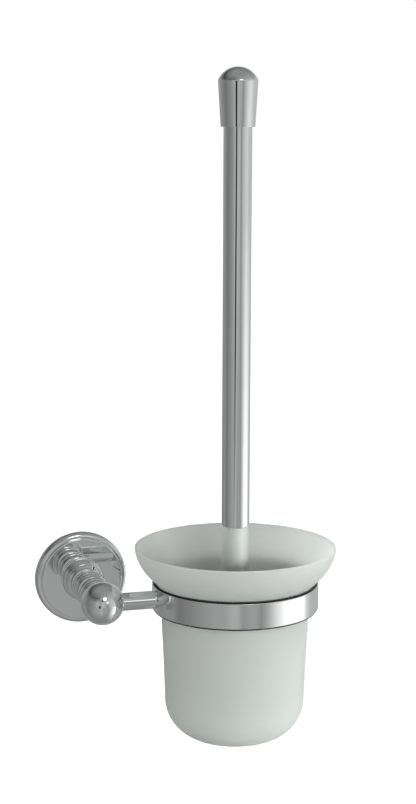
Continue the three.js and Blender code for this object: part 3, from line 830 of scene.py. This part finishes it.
def studio_bands(n, turn, height):
    """Brightness round the compass in three bands of height, with an even top and bottom."""
    level = ramp(n, turn, [
        (-180, 0.36), (-150, 0.34), (-112, 0.22), (-97, 0.19), (-77, 0.24), (-55, 0.3), (-36, 0.46),
        (-28, 0.38), (-22, 0.36), (-10, 0.52), (4, 0.44), (13, 0.26), (18, 0.38),
        (32, 0.55), (70, 0.72), (84, 0.58), (120, 0.54), (165, 0.46),
    ])
    low = ramp(n, turn, [
        (-180, 0.34), (-156, 0.24), (-144, 0.25), (-128, 0.28), (-112, 0.27), (-98, 0.19), (-64, 0.3),
        (-46, 0.36), (-30, 0.37), (-20, 0.45), (-13, 0.44), (-6, 0.32), (10, 0.38), (20, 0.29),
        (30, 0.46), (45, 0.88), (56, 1.2), (92, 1.2), (100, 0.7), (112, 0.5), (150, 0.45),
    ])
    high = ramp(n, turn, [
        (-180, 0.1), (-160, 0.06), (-120, 0.05), (-100, 0.1), (-62, 0.1), (-40, 0.14), (-15, 0.38),
        (30, 0.45), (60, 0.45), (90, 0.4), (120, 0.25), (179, 0.1),
    ])
    around = n.blend(n.span(height, 0.0, 1.0, -0.21, -0.06), low, level)
    around = n.blend(n.span(height, 0.0, 1.0, 0.3, 0.6), around, high)
    around = n.blend(n.span(height, 0.0, 1.0, 0.6, 0.95), around, (0.28, 0.28, 0.28))
    return n.blend(n.span(height, 1.0, 0.0, -0.97, -0.6), around, (0.25, 0.25, 0.25))


def dark_strip(n, turn, height, below):
    """A dark upright strip a little below the level, on the left of straight out from the wall."""
    window = ramp(n, turn, [(-180, 0.0), (-32.5, 0.0), (-30, 1.0), (-23, 1.0), (-20.5, 0.0)])
    band = multiply(n, n.span(height, 0.0, 1.0, -0.24, -0.14), n.span(height, 1.0, 0.0, 0.0, 0.05))
    return n.blend(multiply(n, band, window), below, (0.01, 0.01, 0.01))


def make_world():
    """A studio of soft light and dark areas for the chrome to mirror, in front of a white backdrop."""
    world = bpy.data.worlds.new("studio")
    bpy.context.scene.world = world
    n = Nodes(world)
    direction = n.add("ShaderNodeTexCoord").outputs["Generated"]
    parts = n.add("ShaderNodeSeparateXYZ")
    n.put(parts, 0, direction)
    turn = compass_turn(n, parts)
    height = parts.outputs["Z"]

    around = studio_bands(n, turn, height)
    around = dark_strip(n, turn, height, around)
    around = spot(n, direction, around, -13, 28, 2, 7, 0.05)
    around = spot(n, direction, around, 16, 17, 3, 9, 1.1)
    around = spot(n, direction, around, 4, 37, 4, 10, 3.2)

    lights = n.add("ShaderNodeBackground")
    n.put(lights, "Color", around)
    backdrop = n.add("ShaderNodeBackground", Color=(1.0, 1.0, 1.0, 1.0))
    choice = n.add("ShaderNodeMixShader")
    n.put(choice, 0, n.add("ShaderNodeLightPath").outputs["Is Camera Ray"])
    n.put(choice, 1, lights.outputs[0])
    n.put(choice, 2, backdrop.outputs[0])
    output = n.add("ShaderNodeOutputWorld")
    n.put(output, "Surface", choice.outputs[0])


def add_soft_light(name, place, aim, size, power):
    """A soft box that lights the glass but doesn't show in the chrome."""
    data = bpy.data.lights.new(name, "AREA")
    data.shape = "SQUARE"
    data.size = size
    data.energy = power
    light = bpy.data.objects.new(name, data)
    bpy.context.scene.collection.objects.link(light)
    light.location = place
    light.rotation_euler = (Vector(aim) - Vector(place)).to_track_quat("-Z", "Y").to_euler()
    light.visible_glossy = False
    light.visible_camera = False


def make_camera():
    """Level with the cap, a little to the left of straight out from the wall, and turned down to the cup."""
    data = bpy.data.cameras.new("camera")
    data.sensor_width = 36.0
    data.lens = 81.56
    data.clip_end = 60.0
    camera = bpy.data.objects.new("camera", data)
    bpy.context.scene.collection.objects.link(camera)
    yaw, pitch, roll = math.radians(15.96), math.radians(9.68), math.radians(0.206)
    forward = Vector((math.sin(yaw) * math.cos(pitch), math.cos(yaw) * math.cos(pitch), -math.sin(pitch)))
    right = Vector((math.cos(yaw), -math.sin(yaw), 0.0))
    up = right.cross(forward)
    level_right = right * math.cos(roll) + up * math.sin(roll)
    level_up = up * math.cos(roll) - right * math.sin(roll)
    turn = Matrix((level_right, level_up, -forward)).transposed().to_4x4()
    place = Vector((-0.2305, -1.0992, 0.3035))
    camera.matrix_world = Matrix.Translation(place) @ turn
    bpy.context.scene.camera = camera


make_floor()
make_world()
cup_middle = (0.083, -0.064, -0.02)
BOX_SIZE = 1.2
add_soft_light("front_soft_box", (0.3, -2.0, 0.4), cup_middle, BOX_SIZE, 19.0)
add_soft_light("left_soft_box", (-1.8, -0.3, 0.1), cup_middle, BOX_SIZE, 11.0)
add_soft_light("low_right_soft_box", (1.7, -0.9, -0.6), cup_middle, BOX_SIZE, 48.0)
add_soft_light("left_back_soft_box", (-1.2, 1.3, -0.2), cup_middle, BOX_SIZE, 5.5)
make_camera()
bpy.context.scene.view_settings.view_transform = "Standard"
